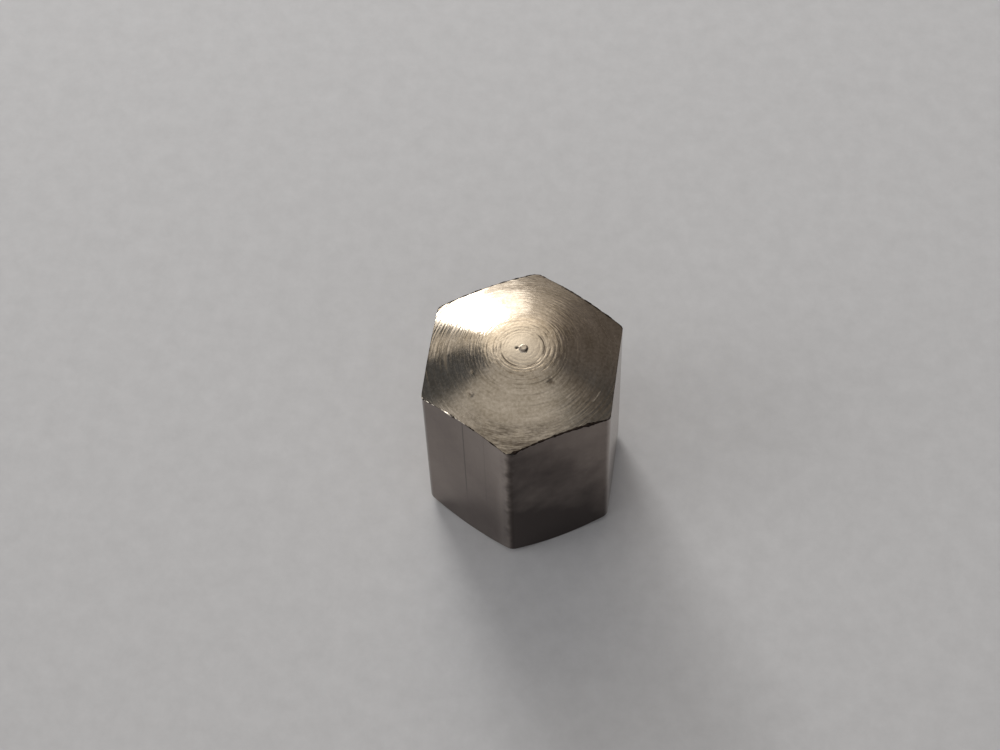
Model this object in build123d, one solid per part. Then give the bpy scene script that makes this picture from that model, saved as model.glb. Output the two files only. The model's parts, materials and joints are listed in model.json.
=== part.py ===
from build123d import *
from math import atan2, cos, degrees, pi, radians, tan
import os

# A retaining nut in one piece, turned from drawn hexagon bar and parted off at its domed top.
# Millimetres and degrees. +Z runs up the thread axis, and the origin is the centre of the base.
# Two corners of the hexagon lie on the Y axis, so two flats face along X.

# The bar
hexagon_sides = 6
across_flats = 13.0          # spanner size
bar_corner_radius = 0.6      # drawn corners of the bar

# The domed top
corner_height = 14.0         # base to dome, measured up a corner of the hexagon
dome_rise = 1.85             # corner height to the middle of the crown
crown_diameter = 5.2         # the flatter middle of the dome
crown_slope = 3.0            # fall of the crown towards its edge
flank_bend = 10.0            # how far the dome's flank turns between the crown and a corner
crown_blend_radius = 4.0     # softened step from crown to flank

# The pip left in the middle of the crown by parting off
pip_diameter = 0.64
pip_tip_diameter = 0.42
pip_height = 0.3
pip_edge_radius = 0.08

# The base
base_face_inset = 0.13       # edge of the turned bearing face, inside the flats
base_chamfer_angle = 30.0    # rise of the chamfer from the bearing face

# The blind hole, drilled to tapping size for an 8 mm coarse thread
thread_bore_diameter = 6.8
drill_point_angle = 118.0
crown_wall = 3.0             # metal between the drill point and the crown
mouth_diameter = 8.6         # countersink at the base
mouth_angle = 90.0

cut_overrun = 1.0            # how far a cut runs past the surface that it opens

# Sizes that follow from those above
overall_height = corner_height + dome_rise
across_corners = across_flats / cos(pi / hexagon_sides)
corner_reach = across_corners / 2
bore_radius = thread_bore_diameter / 2


def hexagon_bar():
    """The drawn bar, standing on its end and longer than the nut at both ends."""
    section = RegularPolygon(
        across_flats / 2, hexagon_sides, major_radius=False, rotation=180 / hexagon_sides
    )
    section = fillet(section.vertices(), bar_corner_radius)
    bar = extrude(section, overall_height + pip_height + 2 * cut_overrun)
    return Pos(0, 0, -cut_overrun) * bar


def turned_form():
    """All that the lathe leaves: bearing face, base chamfer, dome, crown and pip, as one revolved profile."""
    base_face_radius = across_flats / 2 - base_face_inset
    chamfer_rise = (corner_reach - base_face_radius) * tan(radians(base_chamfer_angle))
    side = Polyline(
        (0, 0),
        (base_face_radius, 0),
        (corner_reach, chamfer_rise),
        (corner_reach, corner_height),
    )

    # The flank is an arc from the crown's edge to the corners, bent evenly about its chord.
    crown_radius = crown_diameter / 2
    crown_fall = crown_radius * tan(radians(crown_slope))
    crown_edge = (crown_radius, overall_height - crown_fall)
    chord_slope = degrees(atan2(dome_rise - crown_fall, corner_reach - crown_radius))
    flank_start = Vector(1, 0).rotate(Axis.Z, flank_bend / 2 - chord_slope)
    flank = TangentArc(crown_edge, (corner_reach, corner_height), tangent=flank_start)

    pip_radius = pip_diameter / 2
    pip_foot = overall_height - pip_radius * tan(radians(crown_slope))
    pip_top = overall_height + pip_height
    pip_edge = (pip_tip_diameter / 2, pip_top)
    crown = Polyline(crown_edge, (pip_radius, pip_foot), pip_edge, (0, pip_top), (0, 0))

    profile = make_face([side, flank, crown])
    for point, radius in ((crown_edge, crown_blend_radius), (pip_edge, pip_edge_radius)):
        profile = fillet(profile.vertices().sort_by_distance(point)[0], radius)
    return revolve(Plane.XZ * profile, Axis.Z)


def thread_bore():
    """The drilled hole with its conical bottom, and the countersink that opens it at the base."""
    mouth_radius = mouth_diameter / 2
    mouth_flare = tan(radians(mouth_angle / 2))
    mouth_depth = (mouth_radius - bore_radius) / mouth_flare
    drill_point = overall_height - crown_wall
    bore_end = drill_point - bore_radius / tan(radians(drill_point_angle / 2))
    profile = Polyline(
        (0, -cut_overrun),
        (mouth_radius + cut_overrun * mouth_flare, -cut_overrun),
        (bore_radius, mouth_depth),
        (bore_radius, bore_end),
        (0, drill_point),
        close=True,
    )
    return revolve(Plane.XZ * make_face(profile), Axis.Z)


retaining_nut = hexagon_bar() & turned_form()
retaining_nut -= thread_bore()

os.makedirs("parts", exist_ok=True)
export_step(retaining_nut, "parts/retaining_nut.step")
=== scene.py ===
import json
from math import atan2, cos, exp, hypot, pi, radians, sin, sqrt, tan

import bmesh
import bpy
from mathutils import Matrix, Quaternion, Vector, noise


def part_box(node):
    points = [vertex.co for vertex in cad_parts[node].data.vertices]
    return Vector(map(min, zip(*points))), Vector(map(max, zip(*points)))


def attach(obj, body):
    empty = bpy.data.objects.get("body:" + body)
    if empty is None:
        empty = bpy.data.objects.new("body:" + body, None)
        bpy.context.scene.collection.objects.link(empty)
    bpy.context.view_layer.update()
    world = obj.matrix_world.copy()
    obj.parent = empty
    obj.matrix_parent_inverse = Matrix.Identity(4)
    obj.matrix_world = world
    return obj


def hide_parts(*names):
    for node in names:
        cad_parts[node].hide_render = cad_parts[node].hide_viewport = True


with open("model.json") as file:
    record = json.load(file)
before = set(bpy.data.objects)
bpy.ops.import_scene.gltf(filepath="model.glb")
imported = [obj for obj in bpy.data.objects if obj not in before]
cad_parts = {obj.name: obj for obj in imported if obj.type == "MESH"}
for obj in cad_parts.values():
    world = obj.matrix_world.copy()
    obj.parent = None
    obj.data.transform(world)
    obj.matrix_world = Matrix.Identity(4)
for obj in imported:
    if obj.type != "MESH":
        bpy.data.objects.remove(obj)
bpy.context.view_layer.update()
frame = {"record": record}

# The turned form: what the lathe makes of a length of hexagon bar, from the faced and chamfered base to the
# dome. Bare steel, cut with a pointed tool whose feed left fine rings round the crown and a pip where the
# bar was parted off. It is spun here as a full round, and the hexagon is cut from it in the next section.
mm = 0.001
low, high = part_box("retaining_nut")
flat_reach = (high.x - low.x) / 2
hexagon_sides = 6
side_turn = 2 * pi / hexagon_sides
corner_reach = flat_reach / cos(side_turn / 2)
corner_height = 14.0 * mm
solid_pip_height = 0.3 * mm
dome_top = high.z - solid_pip_height
crown_radius = 2.6 * mm
crown_slope = radians(3)
crown_round = 1.6 * mm
crown_blend = 0.13 * mm
flank_bend = radians(10)
base_face_inset = 0.13 * mm
base_face_radius = flat_reach - base_face_inset
chamfer_angle = radians(30)
mouth_radius = 4.3 * mm
round_segments = 240
pip_zone = 0.6 * mm
pip_rings = 24
ring_zone = 3.7 * mm
ring_cuts = 130
flank_cuts = 72
same_point = 1e-7


def draw(points):
    """Draws a profile in the XZ plane, point by point, and leaves it in edit mode."""
    bpy.ops.object.select_all(action="DESELECT")
    bpy.ops.mesh.primitive_plane_add(size=mm)
    bpy.ops.object.mode_set(mode="EDIT")
    bpy.ops.mesh.select_mode(type="VERT")
    bpy.ops.mesh.merge(type="CENTER")
    bpy.ops.transform.translate(value=(points[0][0], 0, points[0][1]))
    for (x0, z0), (x1, z1) in zip(points, points[1:]):
        bpy.ops.mesh.extrude_vertices_move(TRANSFORM_OT_translate={"value": (x1 - x0, 0, z1 - z0)})
    return bpy.context.object


def divide(piece, inner, outer, cuts):
    """Divides the profile's top edge between two radii."""
    shape = bmesh.from_edit_mesh(piece.data)
    for edge in shape.edges:
        ends = [vertex.co for vertex in edge.verts]
        on_top = min(end.z for end in ends) > corner_height - same_point
        edge.select_set(on_top and all(inner - same_point < end.x < outer + same_point for end in ends))
    bmesh.update_edit_mesh(piece.data)
    bpy.ops.mesh.subdivide(number_cuts=cuts)


def spin_round():
    """Turns the drawn profile a full round about the thread axis and closes its seam and poles."""
    bpy.ops.mesh.select_all(action="SELECT")
    bpy.ops.mesh.spin(steps=round_segments, angle=2 * pi, center=(0, 0, 0), axis=(0, 0, 1))
    bpy.ops.mesh.select_all(action="SELECT")
    bpy.ops.mesh.remove_doubles(threshold=same_point)
    bpy.ops.mesh.normals_make_consistent(inside=False)
    bpy.ops.object.mode_set(mode="OBJECT")


chamfer_rise = (corner_reach - base_face_radius) * tan(chamfer_angle)
nut = draw([
    (mouth_radius, 0),
    (base_face_radius, 0),
    (corner_reach, chamfer_rise),
    (corner_reach, corner_height),
    (ring_zone, dome_top),
    (pip_zone, dome_top),
    (0, dome_top),
])
nut.name = nut.data.name = "turned_nut"
divide(nut, 0, pip_zone, pip_rings)
divide(nut, pip_zone, ring_zone, ring_cuts)
divide(nut, ring_zone, corner_reach, flank_cuts)
spin_round()

# The dome falls gently from its middle to the crown's edge, then faster down a slightly bent flank.
crown_fall = crown_radius * tan(crown_slope)
flank_run = corner_reach - crown_radius
flank_fall = dome_top - corner_height - crown_fall
flank_radius = hypot(flank_run, flank_fall) / (2 * sin(flank_bend / 2))
flank_slope = atan2(flank_fall, flank_run) - flank_bend / 2
flank_centre_r = crown_radius - flank_radius * sin(flank_slope)
flank_centre_z = dome_top - crown_fall - flank_radius * cos(flank_slope)


def dome_height(radius):
    """The plain dome's height at a radius: the lower of crown and flank, blended where they meet."""
    crown = dome_top - tan(crown_slope) * (hypot(radius, crown_round) - crown_round)
    flank = flank_centre_z + sqrt(flank_radius ** 2 - (radius - flank_centre_r) ** 2)
    mix = min(max(0.5 + 0.5 * (flank - crown) / crown_blend, 0), 1)
    return flank + (crown - flank) * mix - crown_blend * mix * (1 - mix)


# Feed marks: a spiral of shallow grooves, bold on the crown and faint on the flank. They deepen again near
# the rim, a little on the right and most on the left. One deeper ring runs round part of the crown, and the
# rim is scuffed towards two corners.
feed = 0.29 * mm
crown_groove = 0.0055 * mm
flank_groove = 0.0012 * mm
rim_groove = 0.0008 * mm
right_groove = 1.8 * rim_groove
left_groove = 0.011 * mm
bold_reach = 1.2 * crown_radius
bold_fade = 0.18 * crown_radius
calm_reach = 1.6 * mm
rim_from = 4.6 * mm
rim_to = 6.0 * mm
left_from = 4.4 * mm
left_to = 5.4 * mm
patch_size = 0.45 * mm
groove_angle = radians(-50)
left_angle = radians(171)
deep_ring_radius = 1.49 * mm
deep_ring_width = 0.042 * mm
deep_ring_depth = 0.006 * mm
deep_ring_angle = radians(-65)
scuff_depth = 0.0012 * mm
scuff_size = 0.1 * mm
scuff_from = 4.9 * mm
scuff_to = 6.5 * mm


def ramp(value, start, end):
    """How far a value has come from start to end, from 0 to 1."""
    return min(1, max(0, (value - start) / (end - start)))


def deep_ring(radius, angle):
    """How much of the deeper ring a place has, from 0 to 1: it is broken, and fades out on one side."""
    one_side = min(1, max(0, 1.8 + 3 * cos(angle - deep_ring_angle)))
    broken = min(1, max(0, 0.75 + 1.3 * noise.noise(Vector((2 * cos(angle), 2 * sin(angle), 0.6)))))
    return exp(-((radius - deep_ring_radius) / deep_ring_width) ** 2) * one_side * broken


def feed_wave(radius, angle):
    """A groove's cross-section, from 1 on a ridge to -1 in a groove, which is narrower than the ridge."""
    wander = 1.6 * sin(2 * pi * radius / (5.3 * feed)) + 0.8 * sin(2 * pi * radius / (2.6 * feed) + angle)
    swing = 0.5 + 0.5 * sin(2 * pi * radius / feed - angle + wander)
    return 2 * sqrt(swing) - 1


def groove_depth(radius, angle):
    """How deep the feed's grooves are at a place: patchy, calm in the middle and bolder on one side."""
    bold = 1 / (1 + exp((radius - bold_reach) / bold_fade))
    rim = ramp(radius, rim_from, rim_to)
    right = right_groove * max(0, cos(angle)) ** 6
    left = left_groove * ramp(radius, left_from, left_to) * max(0, cos(angle - left_angle)) ** 12
    even = flank_groove + (crown_groove - flank_groove) * bold + (rim_groove + right) * rim + left
    calm = 0.12 + 0.88 * min(1, radius / calm_reach) ** 4
    patch = max(0, 0.75 + 1.3 * noise.noise(Vector((radius / patch_size, 3 * cos(angle), 3 * sin(angle)))))
    one_side = 0.78 + 0.27 * cos(angle - groove_angle)
    return even * calm * patch * one_side


def feed_marks(radius, angle):
    """How far grooves and scuffs raise or lower the dome at a place."""
    groove = groove_depth(radius, angle) * feed_wave(radius, angle)
    scuffed = ramp(radius, scuff_from, scuff_to) * sin(angle) ** 4
    scuff = noise.noise(Vector((12 * cos(angle), 12 * sin(angle), radius / scuff_size)))
    return groove + scuff_depth * scuffed * scuff - deep_ring_depth * deep_ring(radius, angle)


# The pip stands a little off the middle, torn round its side, with painted shade on its side away from the
# light, beside a small pit.
pip_place = Vector((0.09, -0.05)) * mm
pip_foot = 0.34 * mm
pip_tip = 0.19 * mm
pip_stub = 0.18 * mm
pip_tear = 0.2 * mm
lee_angle = radians(-15)
lee_side = Vector((cos(lee_angle), sin(lee_angle)))
pit_place = Vector((-0.38, -0.06)) * mm
pit_radius = 0.085 * mm
pit_depth = 0.05 * mm


def pip_share(place):
    """How far up the pip a place is, from 0 at its foot and beyond to 1 on its top."""
    away = place - pip_place
    ragged = 1 + 0.15 * noise.noise(Vector((away.x, away.y, 0)) / pip_tear)
    climb = ramp(pip_foot * ragged - away.length, 0, pip_foot - pip_tip)
    return climb * climb * (3 - 2 * climb)


def pit_share(place):
    return exp(-((place - pit_place).length / pit_radius) ** 2)


# Small dents that handling left in the dome, each with its place, reach and depth, and ragged at the edge.
# The bright scratch near the right edge has no depth to speak of, so only its colour shows.
dents = [
    (Vector((-3.09, -3.63)) * mm, 0.13 * mm, 0.04 * mm),
    (Vector((2.24, -2.22)) * mm, 0.22 * mm, 0.02 * mm),
    (Vector((-3.15, -2.07)) * mm, 0.1 * mm, 0.02 * mm),
    (Vector((0.82, -1.75)) * mm, 0.1 * mm, 0.006 * mm),
]
dent_tear = 0.16 * mm
scratch_radius = 5.95 * mm
scratch_width = 0.03 * mm
scratch_from = radians(-29)
scratch_to = radians(-20)


def dent_share(place, at, reach):
    ragged = 1 + 0.9 * noise.noise(Vector((place.x, place.y, 0)) / dent_tear)
    return exp(-((place - at).length / (reach * max(0.2, ragged))) ** 2)


def scratch_share(radius, angle):
    return (scratch_from < angle < scratch_to) * exp(-((radius - scratch_radius) / scratch_width) ** 2)


# The plain top of the spun form is shaped into the dome with all its marks. Two attributes tell the steel
# where metal is torn bright and where it is darker: in the grooves, the dents and on the pip's top, darkest
# in the pit, the deeper ring and the pip's lee, where the darkening is painted shade.
darkening_and_shade = nut.data.attributes.new("darkening_and_shade", "FLOAT", "POINT")
torn = nut.data.attributes.new("torn", "FLOAT", "POINT")
for vertex in nut.data.vertices:
    if vertex.co.z > corner_height - same_point:
        place = vertex.co.xy
        radius = place.length
        angle = atan2(place.y, place.x)
        climb = pip_share(place)
        in_pit = pit_share(place)
        dented = [(depth, dent_share(place, at, reach)) for at, reach, depth in dents]
        sunk = sum(depth * share for depth, share in dented) + pit_depth * in_pit
        vertex.co.z = dome_height(radius) + feed_marks(radius, angle) + pip_stub * climb - sunk
        on_side = 4 * climb * (1 - climb)
        # Painted shade: the pip's side away from the light is darkened.
        painted_lee_shade = on_side * max(0, (place - pip_place).normalized().dot(lee_side))
        deep_share = min(1, (1.5 * groove_depth(radius, angle) / crown_groove) ** 2)
        in_groove = deep_share * max(0, -feed_wave(radius, angle))
        darkening_and_shade.data[vertex.index].value = max(
            0.7 * in_groove, min(1, 1.2 * deep_ring(radius, angle)), min(1, 2 * in_pit), painted_lee_shade, 0.35 * climb,
            *(0.85 * share for depth, share in dented),
        )
        torn.data[vertex.index].value = max(on_side, 0.5 * scratch_share(radius, angle))


def linear(hex_colour):
    """A colour written as sRGB hex, in the linear values that shaders take."""
    channels = [int(hex_colour[i:i + 2], 16) / 255 for i in (1, 3, 5)]
    return [c / 12.92 if c <= 0.04045 else ((c + 0.055) / 1.055) ** 2.4 for c in channels] + [1.0]


def add_node(tree, kind, inputs=None, out=0, **settings):
    """Adds a shader node and returns one of its outputs. An input is a value or another node's output."""
    node = tree.nodes.new("ShaderNode" + kind)
    for name, value in settings.items():
        setattr(node, name, value)
    for name, value in (inputs or {}).items():
        if isinstance(value, bpy.types.NodeSocket):
            tree.links.new(value, node.inputs[name])
        else:
            node.inputs[name].default_value = value
    return node.outputs[out]


def new_material(name):
    """A node material with nothing in it but its output."""
    material = bpy.data.materials.new(name)
    material.use_nodes = True
    tree = material.node_tree
    tree.nodes.clear()
    return material, tree, tree.nodes.new("ShaderNodeOutputMaterial").inputs["Surface"]


# Turned steel: bright, with a light brown cast and fine scores round the axis, which smear reflections
# outward from the middle and ring the base. The dome has a fine grain, a middle painted brighter as a
# painted reflection, darker grooves, pits, dents and deeper ring, painted shade in the pip's lee, and dark
# oil in streaks towards two corners. Lengths in the materials are in millimetres, and marks that run round
# the axis are sized in radians round it and in millimetres outward.
score_size = (0.2, 0.2, 0.125)
score_depth = 0.014
smooth_reach = 0.9
scored_reach = 2.0
band_size = (0.5, 0.5, 0.77)
dome_grain = 0.2
dome_from = 12
dome_to = 13
painted_middle_reach = 2.0
bright_reach = 0.6
streak_size = (0.0909, 0.0909, 0.0909)
smudge_size = (0.25, 0.25, 0.5)
rim_oil_from = 5.1
rim_oil_to = 5.9
turned, tree, surface = new_material("turned_steel")
place = add_node(tree, "TexCoord", out="Object")
in_mm = add_node(tree, "VectorMath", {0: place, "Scale": 1 / mm}, operation="SCALE")
level = add_node(tree, "VectorMath", {0: in_mm, 1: (1, 1, 0)}, operation="MULTIPLY")
reach = add_node(tree, "VectorMath", {0: level}, out="Value", operation="LENGTH")
around = add_node(tree, "VectorMath", {0: level}, operation="NORMALIZE")
outward = add_node(tree, "CombineXYZ", {"Z": reach})
polar = add_node(tree, "VectorMath", {0: around, 1: outward}, operation="ADD")
score_map = add_node(tree, "VectorMath", {0: polar, 1: score_size}, operation="DIVIDE")
scores = add_node(tree, "TexNoise", {"Vector": score_map, "Scale": 1, "Detail": 3})
band_map = add_node(tree, "VectorMath", {0: polar, 1: band_size}, operation="DIVIDE")
bands = add_node(tree, "TexNoise", {"Vector": band_map, "Scale": 1, "Detail": 3})
grain = add_node(tree, "TexNoise", {"Vector": in_mm, "Scale": 1 / dome_grain, "Detail": 4})
height = add_node(tree, "SeparateXYZ", {0: in_mm}, out="Z")
on_dome = add_node(tree, "MapRange", {0: height, 1: dome_from, 2: dome_to})
spots = add_node(tree, "Mix", {0: on_dome, 2: scores, 3: grain})
mottled = add_node(tree, "Math", {0: spots, 1: 1.2, 2: bands}, operation="MULTIPLY_ADD")
tone = add_node(tree, "MapRange", {0: mottled, 1: 0.8, 2: 1.4})
clean = add_node(tree, "Mix", {0: tone, 6: linear("#9A8E7D"), 7: linear("#BCB0A0")}, 2, data_type="RGBA")
# Painted reflection: the middle of the dome is painted brighter.
painted_light_zone = add_node(tree, "MapRange", {0: reach, 1: painted_middle_reach, 2: bright_reach, 4: 0.9})
clean = add_node(tree, "Mix", {0: painted_light_zone, 6: clean, 7: linear("#C4B9A9")}, 2, data_type="RGBA")
tear = add_node(tree, "Attribute", out="Fac", attribute_name="torn")
clean = add_node(tree, "Mix", {0: tear, 6: clean, 7: linear("#CDC1B3")}, 2, data_type="RGBA")

near_rim = add_node(tree, "MapRange", {0: reach, 1: rim_oil_from, 2: rim_oil_to})
streak_map = add_node(tree, "VectorMath", {0: polar, 1: streak_size}, operation="DIVIDE")
streaks = add_node(tree, "TexNoise", {"Vector": streak_map, "Scale": 1, "Detail": 4, "Roughness": 0.6})
smudge_map = add_node(tree, "VectorMath", {0: polar, 1: smudge_size}, operation="DIVIDE")
smudges = add_node(tree, "TexNoise", {"Vector": smudge_map, "Scale": 1, "Detail": 2})
smudged = add_node(tree, "Math", {0: smudges, 1: 0.9, 2: streaks}, operation="MULTIPLY_ADD")
streak = add_node(tree, "MapRange", {0: smudged, 1: 0.75, 2: 1.2, 4: 0.9})
to_corner = add_node(tree, "SeparateXYZ", {0: around}, out="Y")
at_corner = add_node(tree, "Math", {0: to_corner, 1: 4}, operation="POWER")
rim_streak = add_node(tree, "Math", {0: near_rim, 1: streak}, operation="MULTIPLY")
corner_streak = add_node(tree, "Math", {0: rim_streak, 1: at_corner}, operation="MULTIPLY")
rim_oil = add_node(tree, "Math", {0: corner_streak, 1: on_dome}, operation="MULTIPLY")
marks = add_node(tree, "Attribute", out="Fac", attribute_name="darkening_and_shade")
oil_and_shade = add_node(tree, "Math", {0: rim_oil, 1: marks}, operation="MAXIMUM")
# Darker at the dark marks, the painted shade in the pip's lee and the oil streaks near the rim.
colour = add_node(tree, "Mix", {0: oil_and_shade, 6: clean, 7: linear("#4E4338")}, 2, data_type="RGBA")

polish = add_node(tree, "MapRange", {0: scores, 1: 0.3, 2: 0.7, 3: 0.11, 4: 0.19})
dull = add_node(tree, "Mix", {0: oil_and_shade, 2: polish, 3: 0.55})
rough = add_node(tree, "Mix", {0: tear, 2: dull, 3: 0.9})
scored = add_node(tree, "MapRange", {0: reach, 1: smooth_reach, 2: scored_reach, 3: 0.2, 4: 0.9})
bump = add_node(tree, "Bump", {"Height": scores, "Strength": scored, "Distance": score_depth * mm})
steel = add_node(tree, "BsdfPrincipled", {
    "Base Color": colour, "Roughness": rough, "Normal": bump,
    "Metallic": 1.0, "Anisotropic": 0.6, "Anisotropic Rotation": 0.25,
})
tree.links.new(steel, surface)
nut.data.materials.append(turned)

# The hexagon: six drawn flats with rounded corners, the skin of the bar that the nut was turned from. The
# same steel, left as it came through the die. The flats are cut from the round by upright planes.
corner_radius = 0.6 * mm
corner_facets = 9
corner_centre = (flat_reach - corner_radius) / cos(side_turn / 2)
cut_tolerance = 1e-9
upright_tilt = 0.1


def cut_side(reach, angle):
    """Cuts away what lies beyond an upright plane that faces out at an angle, and closes the cut."""
    bpy.ops.mesh.select_all(action="SELECT")
    outward = Vector((cos(angle), sin(angle), 0))
    bpy.ops.mesh.bisect(
        plane_co=reach * outward, plane_no=outward, use_fill=True, clear_outer=True, threshold=cut_tolerance,
    )


bpy.context.view_layer.objects.active = nut
bpy.ops.object.mode_set(mode="EDIT")
for side in range(hexagon_sides):
    cut_side(flat_reach, side * side_turn)
for side in range(hexagon_sides):
    for facet in range(1, corner_facets + 1):
        turn = side_turn * facet / (corner_facets + 1)
        cut_side(corner_centre * cos(turn - side_turn / 2) + corner_radius, side * side_turn + turn)
bpy.ops.mesh.select_all(action="SELECT")
bpy.ops.mesh.remove_doubles(threshold=same_point)
bpy.ops.object.mode_set(mode="OBJECT")

# Drawn steel: duller and browner, with upright die lines, two of them scored and dark. The scored flat is
# worn brighter near its front edge and painted lighter near its top as a painted reflection, with painted
# shade over it that fades towards that edge; the next has dark smears, partly oil and partly painted shade;
# and the one on the right is painted lighter all over as a painted reflection. Small knocks fleck the
# corners, and larger bruises the front one.
line_size = (0.1667, 0.1667, 14.3)
line_depth = 0.006
smear_size = 3.33
flat_grain = 0.4545
knock_size = 0.25
bruise_size = 0.8333
flat_from = 6.3
flat_to = 6.48
corner_from = 7.28
corner_to = 7.42
front_from = 7.12
front_to = 7.36
drawn, tree, surface = new_material("drawn_steel")
place = add_node(tree, "TexCoord", out="Object")
in_mm = add_node(tree, "VectorMath", {0: place, "Scale": 1 / mm}, operation="SCALE")
height = add_node(tree, "SeparateXYZ", {0: in_mm}, out="Z")
line_map = add_node(tree, "VectorMath", {0: in_mm, 1: line_size}, operation="DIVIDE")
lines = add_node(tree, "TexNoise", {"Vector": line_map, "Scale": 1, "Detail": 4})
smear_map = add_node(tree, "Mapping", {"Vector": in_mm, "Rotation": (0.5, 0.3, 0)})
smear = add_node(tree, "TexNoise", {"Vector": smear_map, "Scale": 1 / smear_size, "Detail": 4})
grain = add_node(tree, "TexNoise", {"Vector": in_mm, "Scale": 1 / flat_grain, "Detail": 5, "Roughness": 0.7})
clouded = add_node(tree, "Math", {0: grain, 1: 0.5, 2: smear}, operation="MULTIPLY_ADD")
mottled = add_node(tree, "Math", {0: lines, 1: 0.4, 2: clouded}, operation="MULTIPLY_ADD")
tone = add_node(tree, "MapRange", {0: mottled, 1: 0.65, 2: 1.25})
clean = add_node(tree, "Mix", {0: tone, 6: linear("#7C706A"), 7: linear("#92877F")}, 2, data_type="RGBA")

# Wear and painted reflection: wear on the scored flat near its front edge, and painted reflection near its
# top and all over the flat on the right.
scored_angle = radians(240)
scored_side = (cos(scored_angle), sin(scored_angle), 0)
across_scored = (cos(scored_angle + pi / 2), sin(scored_angle + pi / 2), 0)
top_sheen_edge_from = -1.5
strip_from = 2.5
strip_to = 3.1
top_sheen_from = 8.0
top_sheen_to = 13.5
to_scored = add_node(tree, "VectorMath", {0: in_mm, 1: scored_side}, out="Value", operation="DOT_PRODUCT")
on_scored = add_node(tree, "MapRange", {0: to_scored, 1: flat_from, 2: flat_to})
along = add_node(tree, "VectorMath", {0: in_mm, 1: across_scored}, out="Value", operation="DOT_PRODUCT")
edge_wear = add_node(tree, "MapRange", {0: along, 1: strip_from, 2: strip_to, 4: 0.4})
near_edge = add_node(tree, "MapRange", {0: along, 1: top_sheen_edge_from, 2: strip_from})
near_top = add_node(tree, "MapRange", {0: height, 1: top_sheen_from, 2: top_sheen_to, 4: 0.45})
# Painted reflection: the scored flat is painted lighter towards its top.
painted_top_sheen = add_node(tree, "Math", {0: near_edge, 1: near_top}, operation="MULTIPLY")
wear_and_top_sheen = add_node(tree, "Math", {0: edge_wear, 1: painted_top_sheen}, operation="MAXIMUM")
scored_wear_and_sheen = add_node(tree, "Math", {0: wear_and_top_sheen, 1: on_scored}, operation="MULTIPLY")
# Painted reflection: the flat on the right is painted lighter all over.
to_bright_flat = add_node(tree, "SeparateXYZ", {0: in_mm}, out="X")
painted_flat_sheen = add_node(tree, "MapRange", {0: to_bright_flat, 1: flat_from, 2: flat_to, 4: 0.7})
wear_and_sheen = add_node(tree, "Math", {0: scored_wear_and_sheen, 1: painted_flat_sheen}, operation="MAXIMUM")
worn_and_painted_sheen = add_node(tree, "Mix", {0: wear_and_sheen, 6: clean, 7: linear("#B4A9A1")}, 2, data_type="RGBA")

# Oil and painted shade: dark smears slantwise over the next flat, thicker towards its lower left, partly oil
# and partly painted shade standing in for the reflected shadow of the floor; painted shade over the scored
# flat; and dark in the two scores, which fade out towards the base.
darkened_angle = radians(300)
darkened_side = (cos(darkened_angle), sin(darkened_angle), 0)
slanted = (cos(darkened_angle + pi / 2), sin(darkened_angle + pi / 2), 1)
smear_swing = 4.5
smear_end = 12.5
smear_full = 4.0
scored_shade_full = 1.8
scored_shade_end = 3.6
score_foot = 2.5
score_full = 6.0
score_core = 0.02
score_edge = 0.1
scores_across = ((-0.15, 0.75), (1.65, 0.42))
to_darkened = add_node(tree, "VectorMath", {0: in_mm, 1: darkened_side}, out="Value", operation="DOT_PRODUCT")
on_darkened = add_node(tree, "MapRange", {0: to_darkened, 1: flat_from, 2: flat_to})
slant = add_node(tree, "VectorMath", {0: in_mm, 1: slanted}, out="Value", operation="DOT_PRODUCT")
wave = add_node(tree, "MapRange", {0: smear, 1: 0.2, 2: 0.8, 3: -smear_swing, 4: smear_swing})
run = add_node(tree, "Math", {0: slant, 1: wave}, operation="ADD")
thick = add_node(tree, "MapRange", {0: run, 1: smear_end, 2: smear_full})
# Partly oil and partly painted shade: the smears thicken towards the flat's lower left.
smeared_oil_and_shade = add_node(tree, "Math", {0: on_darkened, 1: thick}, operation="MULTIPLY")
# Painted shade over the scored flat, fading out towards its front edge.
painted_light_zone = add_node(tree, "MapRange", {0: along, 1: scored_shade_full, 2: scored_shade_end, 3: 0.25, 4: 0.0})
scored_flat_shade = add_node(tree, "Math", {0: on_scored, 1: painted_light_zone}, operation="MULTIPLY")
oil_and_shade = add_node(tree, "Math", {0: smeared_oil_and_shade, 1: scored_flat_shade}, operation="MAXIMUM")
upper = add_node(tree, "MapRange", {0: height, 1: score_foot, 2: score_full})
score_fade = add_node(tree, "Math", {0: on_scored, 1: upper}, operation="MULTIPLY")
for offset, darkness in scores_across:
    beside = add_node(tree, "Math", {0: along, 1: offset}, operation="SUBTRACT")
    away = add_node(tree, "Math", {0: beside}, operation="ABSOLUTE")
    score = add_node(tree, "MapRange", {0: away, 1: score_core, 2: score_edge, 3: darkness, 4: 0.0})
    score = add_node(tree, "Math", {0: score, 1: score_fade}, operation="MULTIPLY")
    oil_and_shade = add_node(tree, "Math", {0: oil_and_shade, 1: score}, operation="MAXIMUM")
# The dark colour carries oil, the two scores and painted shade.
oiled_and_shaded = add_node(tree, "Mix", {0: oil_and_shade, 6: worn_and_painted_sheen, 7: linear("#453B37")}, 2, data_type="RGBA")

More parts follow.
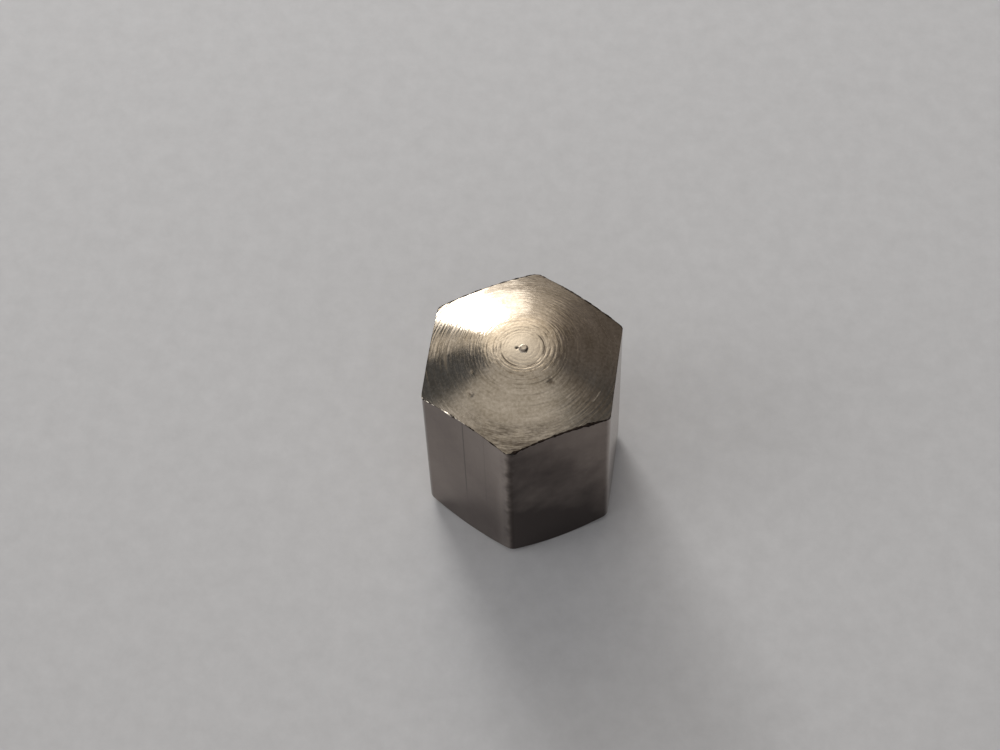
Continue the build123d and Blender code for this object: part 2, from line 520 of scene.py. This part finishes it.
# Knocks and bruises on the corners.
level = add_node(tree, "VectorMath", {0: in_mm, 1: (1, 1, 0)}, operation="MULTIPLY")
reach = add_node(tree, "VectorMath", {0: level}, out="Value", operation="LENGTH")
at_corner = add_node(tree, "MapRange", {0: reach, 1: corner_from, 2: corner_to})
knocks = add_node(tree, "TexNoise", {"Vector": in_mm, "Scale": 1 / knock_size, "Detail": 5, "Roughness": 0.7})
knock = add_node(tree, "MapRange", {0: knocks, 1: 0.48, 2: 0.6, 4: 0.22})
knocked = add_node(tree, "Math", {0: at_corner, 1: knock}, operation="MULTIPLY")
to_front = add_node(tree, "VectorMath", {0: in_mm, 1: (0, -1, 0)}, out="Value", operation="DOT_PRODUCT")
at_front = add_node(tree, "MapRange", {0: to_front, 1: front_from, 2: front_to})
bruises = add_node(tree, "TexNoise", {
    "Vector": in_mm, "Scale": 1 / bruise_size, "Detail": 5, "Roughness": 0.65,
})
bruise = add_node(tree, "MapRange", {0: bruises, 1: 0.4, 2: 0.62, 4: 0.7})
bruised = add_node(tree, "Math", {0: at_front, 1: bruise}, operation="MULTIPLY")
specks = add_node(tree, "Math", {0: knocked, 1: bruised}, operation="MAXIMUM")
colour = add_node(tree, "Mix", {0: specks, 6: oiled_and_shaded, 7: linear("#483F39")}, 2, data_type="RGBA")

rough = add_node(tree, "MapRange", {0: lines, 1: 0.3, 2: 0.7, 3: 0.17, 4: 0.27})
bump = add_node(tree, "Bump", {"Height": lines, "Strength": 0.4, "Distance": line_depth * mm})
steel = add_node(tree, "BsdfPrincipled", {
    "Base Color": colour, "Roughness": rough, "Normal": bump, "Metallic": 1.0, "Anisotropic": 0.5,
})
tree.links.new(steel, surface)
nut.data.materials.append(drawn)
for polygon in nut.data.polygons:
    polygon.material_index = int(abs(polygon.normal.z) < upright_tilt)

# The burr: a thin ragged bead of steel that the lathe tool rolled over the top edges of the hexagon. Torn
# steel, painted nearly black as a painted shade of the hollow under its lip. It follows the edges as a curve
# of uneven thickness, heaviest on the darkened flat, and is then made a mesh and kept inside the solid's box.
burr_radius = 0.12 * mm
burr_inset = 0.005 * mm
burr_lump = 0.6 * mm
burr_tear = 0.18 * mm
heavy_margin = 0.1 * mm
heavy_side = Vector(darkened_side)
top_tilt = 0.5
bpy.ops.object.mode_set(mode="EDIT")
bpy.ops.mesh.select_mode(type="EDGE")
bpy.ops.mesh.select_all(action="DESELECT")
shape = bmesh.from_edit_mesh(nut.data)
for edge in shape.edges:
    tilts = [face.normal.z for face in edge.link_faces]
    is_high = edge.verts[0].co.z > corner_height - mm
    edge.select_set(is_high and max(tilts) > top_tilt and min(tilts) < upright_tilt)
bmesh.update_edit_mesh(nut.data)
bpy.ops.mesh.duplicate()
bpy.ops.mesh.separate(type="SELECTED")
bpy.ops.object.mode_set(mode="OBJECT")
burr = next(piece for piece in bpy.context.selected_objects if piece is not nut)
bpy.ops.object.select_all(action="DESELECT")
burr.select_set(True)
bpy.context.view_layer.objects.active = burr
burr.data.materials.clear()
bpy.ops.object.convert(target="CURVE")
burr.data.bevel_depth = burr_radius
burr.data.bevel_resolution = 1
for spline in burr.data.splines:
    for point in spline.points:
        lump = noise.noise(point.co.xyz / burr_lump)
        nick = noise.noise(point.co.xyz / burr_tear)
        is_heavy = point.co.xyz.dot(heavy_side) > flat_reach - heavy_margin
        usual, ragged = (0.7, 0.9) if is_heavy else (0.25, 0.5)
        point.radius = min(max(0.1, usual + ragged * (lump + 0.7 * nick)), 1.5)
bpy.ops.object.convert(target="MESH")
for vertex in burr.data.vertices:
    vertex.co.x = min(max(vertex.co.x, low.x + burr_inset), high.x - burr_inset)
    vertex.co.y = min(max(vertex.co.y, low.y + burr_inset), high.y - burr_inset)

# Torn steel: nearly black as a painted shade, with painted glints in spots along the left half of the
# scored flat's edge.
glint_size = 0.2174
burr_flat_from = 6.2
burr_flat_to = 6.4
glint_from = 0.6
glint_to = -0.4
burr_paint, tree, surface = new_material("burr_painted_shade_and_glints")
place = add_node(tree, "TexCoord", out="Object")
in_mm = add_node(tree, "VectorMath", {0: place, "Scale": 1 / mm}, operation="SCALE")
to_scored = add_node(tree, "VectorMath", {0: in_mm, 1: scored_side}, out="Value", operation="DOT_PRODUCT")
on_scored = add_node(tree, "MapRange", {0: to_scored, 1: burr_flat_from, 2: burr_flat_to})
along = add_node(tree, "VectorMath", {0: in_mm, 1: across_scored}, out="Value", operation="DOT_PRODUCT")
left_half = add_node(tree, "MapRange", {0: along, 1: glint_from, 2: glint_to})
painted_light_zone = add_node(tree, "Math", {0: on_scored, 1: left_half}, operation="MULTIPLY")
grain = add_node(tree, "TexNoise", {"Vector": in_mm, "Scale": 1 / glint_size, "Detail": 1})
glint_spots = add_node(tree, "MapRange", {0: grain, 1: 0.46, 2: 0.56})
glint = add_node(tree, "Math", {0: painted_light_zone, 1: glint_spots}, operation="MULTIPLY")
# The near-black colour is painted shade, and the pale one painted glints.
colour = add_node(tree, "Mix", {0: glint, 6: linear("#2A231F"), 7: linear("#E6DDD0")}, 2, data_type="RGBA")
steel = add_node(tree, "BsdfPrincipled", {"Base Color": colour, "Roughness": 0.35, "Metallic": 1.0})
tree.links.new(steel, surface)
burr.data.materials.append(burr_paint)

# The threaded hole: drilled blind from the base, countersunk at its mouth and tapped for an 8 mm coarse
# thread. Bare cut steel. The void is made as a solid of its own, the thread's ridge is taken from it, and
# its skin, turned inside out, lines the nut.
thread = {mount["name"]: mount for mount in frame["record"]["mounts"]}["thread"]
bore_radius = thread["dims"]["r_mm"] * mm
thread_major = 4.0 * mm
thread_pitch = 1.25 * mm
thread_crest = 3.3235 * mm
thread_half_angle = radians(30)
thread_end = 9.3 * mm
crown_wall = 3.0 * mm
drill_half_angle = radians(59)
drill_point = dome_top - crown_wall
bore_end = drill_point - bore_radius / tan(drill_half_angle)
mouth_depth = mouth_radius - thread_major
void = draw([
    (0, 0),
    (mouth_radius, 0),
    (thread_major, mouth_depth),
    (thread_major, thread_end),
    (bore_radius, thread_end + (thread_major - bore_radius)),
    (bore_radius, bore_end),
    (0, drill_point),
])
void.name = "hole"
spin_round()

# The ridge: one outline of the thread, a little deeper than its root, screwed up the hole from below.
ridge_overlap = 0.08 * mm
ridge_root = thread_major + ridge_overlap
root_half = thread_pitch * 7 / 16 + (ridge_root - thread_major) * tan(thread_half_angle)
crest_half = thread_pitch / 8
ridge_start = -2 * thread_pitch
helix_steps = 72
ridge = draw([
    (ridge_root, ridge_start - root_half),
    (thread_crest, ridge_start - crest_half),
    (thread_crest, ridge_start + crest_half),
    (ridge_root, ridge_start + root_half),
])
ridge.name = "ridge"
bpy.ops.mesh.select_all(action="SELECT")
bpy.ops.mesh.edge_face_add()
bpy.ops.mesh.delete(type="ONLY_FACE")
bpy.ops.object.mode_set(mode="OBJECT")
screw = ridge.modifiers.new("helix", "SCREW")
screw.screw_offset = thread_pitch
screw.iterations = int((thread_end - ridge_start) / thread_pitch)
screw.steps = screw.render_steps = helix_steps
screw.use_merge_vertices = False
bpy.ops.object.modifier_apply(modifier="helix")
bpy.ops.object.mode_set(mode="EDIT")
bpy.ops.mesh.select_all(action="SELECT")
bpy.ops.mesh.fill_holes(sides=4)
bpy.ops.mesh.normals_make_consistent(inside=False)
bpy.ops.object.mode_set(mode="OBJECT")

# The countersink takes the thread's first turn away.
sink_reach = 3 * mm
sink_depth = 3.4 * mouth_depth
bpy.ops.object.select_all(action="DESELECT")
bpy.ops.mesh.primitive_cone_add(
    vertices=round_segments, radius1=mouth_radius + sink_reach, radius2=mouth_radius - sink_depth,
    depth=sink_reach + sink_depth, location=(0, 0, (sink_depth - sink_reach) / 2),
)
sink = bpy.context.object
for target, cutter in ((ridge, sink), (void, ridge)):
    cut = target.modifiers.new("cut", "BOOLEAN")
    cut.operation = "DIFFERENCE"
    cut.solver = "EXACT"
    cut.object = cutter
    bpy.context.view_layer.objects.active = target
    bpy.ops.object.modifier_apply(modifier="cut")
for tool in (ridge, sink):
    bpy.data.objects.remove(tool)

# The void's lid, level with the base, is taken off, and what is left is turned to face into the hole.
bpy.context.view_layer.objects.active = void
bpy.ops.object.mode_set(mode="EDIT")
shape = bmesh.from_edit_mesh(void.data)
for face in shape.faces:
    face.select_set(face.normal.z < -0.9 and face.calc_center_median().z < same_point)
bmesh.update_edit_mesh(void.data)
bpy.ops.mesh.delete(type="FACE")
bpy.ops.mesh.select_all(action="SELECT")
bpy.ops.mesh.flip_normals()
bpy.ops.object.mode_set(mode="OBJECT")

# Tapped steel: as bright as the dome, but rougher.
tapped, tree, surface = new_material("tapped_steel")
steel = add_node(tree, "BsdfPrincipled", {
    "Base Color": linear("#A89B8C"), "Roughness": 0.35, "Metallic": 1.0,
})
tree.links.new(steel, surface)
void.data.materials.append(tapped)

# One piece of steel: dome, flats, burr and hole are joined, and the seam at the hole's mouth is closed.
# Sharp edges stay sharp, and the flats stay level where they meet the rounded corners.
crease_angle = radians(32)
bpy.ops.object.select_all(action="DESELECT")
for piece in (burr, void, nut):
    piece.select_set(True)
bpy.context.view_layer.objects.active = nut
bpy.ops.object.join()
bpy.ops.object.mode_set(mode="EDIT")
bpy.ops.mesh.select_all(action="SELECT")
bpy.ops.mesh.remove_doubles(threshold=same_point)
bpy.ops.object.mode_set(mode="OBJECT")
bpy.ops.object.shade_smooth_by_angle(angle=crease_angle)
level_flats = nut.modifiers.new("level_flats", "WEIGHTED_NORMAL")
level_flats.keep_sharp = True
level_flats.weight = 100
bpy.ops.object.modifier_apply(modifier="level_flats")
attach(nut, "root")
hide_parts("retaining_nut")

# The floor: a sheet of pale grey paper, far larger than the view. Uncoated paper, which shows dull and
# faintly clouded.
floor_size = 4.0
cloud_size = 1.667
bpy.ops.object.select_all(action="DESELECT")
bpy.ops.mesh.primitive_plane_add(size=floor_size)
floor = bpy.context.object
floor.name = "paper_floor"
paper, tree, surface = new_material("pale_paper")
place = add_node(tree, "TexCoord", out="Object")
in_mm = add_node(tree, "VectorMath", {0: place, "Scale": 1 / mm}, operation="SCALE")
clouds = add_node(tree, "TexNoise", {"Vector": in_mm, "Scale": 1 / cloud_size, "Detail": 5, "Roughness": 0.7})
tone = add_node(tree, "MapRange", {0: clouds, 1: 0.3, 2: 0.7})
colour = add_node(tree, "Mix", {0: tone, 6: linear("#C3C2C2"), 7: linear("#CBCACA")}, 2, data_type="RGBA")
sheet = add_node(tree, "BsdfPrincipled", {"Base Color": colour, "Roughness": 0.9, "Specular IOR Level": 0.2})
tree.links.new(sheet, surface)
floor.data.materials.append(paper)

# The camera: the photograph's own view, from in front and well above, a little turned and rolled.
view_azimuth = radians(10.23)
view_elevation = radians(57.5)
view_roll = radians(-2.49)
view_distance = 159.5 * mm
slide_right = -1.90 * mm
slide_up = 6.66 * mm
focal_pixels = 2150
frame_pixels = 1000
back = Vector((
    sin(view_azimuth) * cos(view_elevation), -cos(view_azimuth) * cos(view_elevation), sin(view_elevation),
))
level_right = Vector((cos(view_azimuth), sin(view_azimuth), 0))
level_up = back.cross(level_right)
right = cos(view_roll) * level_right + sin(view_roll) * level_up
up = cos(view_roll) * level_up - sin(view_roll) * level_right
stand = back * view_distance + right * slide_right + up * slide_up
camera_data = bpy.data.cameras.new("camera")
camera_data.sensor_width = 36
camera_data.lens = camera_data.sensor_width * focal_pixels / frame_pixels
camera_data.clip_start = mm
camera = bpy.data.objects.new("camera", camera_data)
bpy.context.scene.collection.objects.link(camera)
camera.matrix_world = Matrix.Translation(stand) @ Matrix((right, up, back)).transposed().to_4x4()
bpy.context.scene.camera = camera


# The light: a soft window behind and to the left with a bright reveal above it and a dark corner beside it,
# a pale ceiling, dim walls, a second, broader light from the left that deepens the shadow on the right, and
# a broad pale fill from behind the camera.
def towards(azimuth, elevation):
    """The direction at an azimuth, where 90 degrees is straight away from the camera, and an elevation."""
    a = radians(azimuth) + view_azimuth
    e = radians(elevation)
    return Vector((cos(a) * cos(e), sin(a) * cos(e), sin(e)))


window_distance = 0.32
window_roll = radians(18)
for name, azimuth, elevation, half_width, half_height, radiance in (
    ("window", 108.2, 26.6, 8.6, 7.1, 13.0),
    ("window_curtain", 102, 23.7, 14.1, 10.4, 2.4),
):
    lamp_data = bpy.data.lights.new(name, "AREA")
    lamp_data.shape = "RECTANGLE"
    lamp_data.size = 2 * window_distance * tan(radians(half_width))
    lamp_data.size_y = 2 * window_distance * tan(radians(half_height))
    lamp_data.energy = radiance * pi * lamp_data.size * lamp_data.size_y
    lamp = bpy.data.objects.new(name, lamp_data)
    bpy.context.scene.collection.objects.link(lamp)
    lamp.location = towards(azimuth, elevation) * window_distance
    facing = lamp.location.to_track_quat("Z", "Y") @ Quaternion((0, 0, 1), window_roll)
    lamp.rotation_euler = facing.to_euler()

# The room is a sum of soft round glows, each full within one angle of its direction and gone at another.
world = bpy.data.worlds.new("room")
bpy.context.scene.world = world
world.use_nodes = True
tree = world.node_tree
tree.nodes.clear()
direction = add_node(tree, "TexCoord", out="Generated")
light = add_node(tree, "CombineXYZ")
for name, azimuth, elevation, full, gone, strength, tint in (
    ("ceiling", 184, 83, 12, 40, 0.63, "#FFFBF4"),
    ("window reveal", 104.5, 43, 3, 19.5, 1.65, "#FFF8EC"),
    ("back wall", 90, 26, 2, 20, 0.83, "#FFF9F0"),
    ("upper back wall", 86, 47, 2, 19.5, 0.75, "#FFF8EC"),
    ("right back wall", 77, 37, 2, 13, 0.32, "#FFF4E4"),
    ("window jamb", 131, 28.7, 2, 8.6, 1.25, "#FFF9F0"),
    ("warm wall", 66, 33, 5, 47, 0.068, "#FFD09A"),
    ("warm corner", 14, 60, 2, 11, 0.08, "#FFE0B8"),
    ("second light", 190, 34, 5, 24, 1.9, "#FFFFFF"),
    ("fill", 270, 15, 25, 62, 0.4, "#FDFBFF"),
):
    aim = towards(azimuth, elevation)
    facing = add_node(tree, "VectorMath", {0: direction, 1: aim}, out="Value", operation="DOT_PRODUCT")
    glow = add_node(
        tree, "MapRange", {0: facing, 1: cos(radians(gone)), 2: cos(radians(full)), 3: 0.0, 4: strength},
        interpolation_type="SMOOTHSTEP", label=name,
    )
    tinted = add_node(tree, "VectorMath", {0: linear(tint)[:3], "Scale": glow}, operation="SCALE")
    light = add_node(tree, "VectorMath", {0: light, 1: tinted}, operation="ADD")

# The dark corner dims all of these, and a dim bluish level is left over the whole room.
dark_corner = towards(142, 46)
dark_from = radians(17)
dark_to = radians(6)
room_level = (0.106, 0.115, 0.130)
in_corner = add_node(tree, "VectorMath", {0: direction, 1: dark_corner}, out="Value", operation="DOT_PRODUCT")
shade = add_node(
    tree, "MapRange", {0: in_corner, 1: cos(dark_from), 2: cos(dark_to), 3: 1.0, 4: 0.1},
    interpolation_type="SMOOTHSTEP",
)
shaded = add_node(tree, "VectorMath", {0: light, "Scale": shade}, operation="SCALE")
light = add_node(tree, "VectorMath", {0: shaded, 1: room_level}, operation="ADD")
background = add_node(tree, "Background", {"Color": light})
tree.links.new(background, tree.nodes.new("ShaderNodeOutputWorld").inputs["Surface"])

bpy.context.scene.view_settings.view_transform = "Standard"
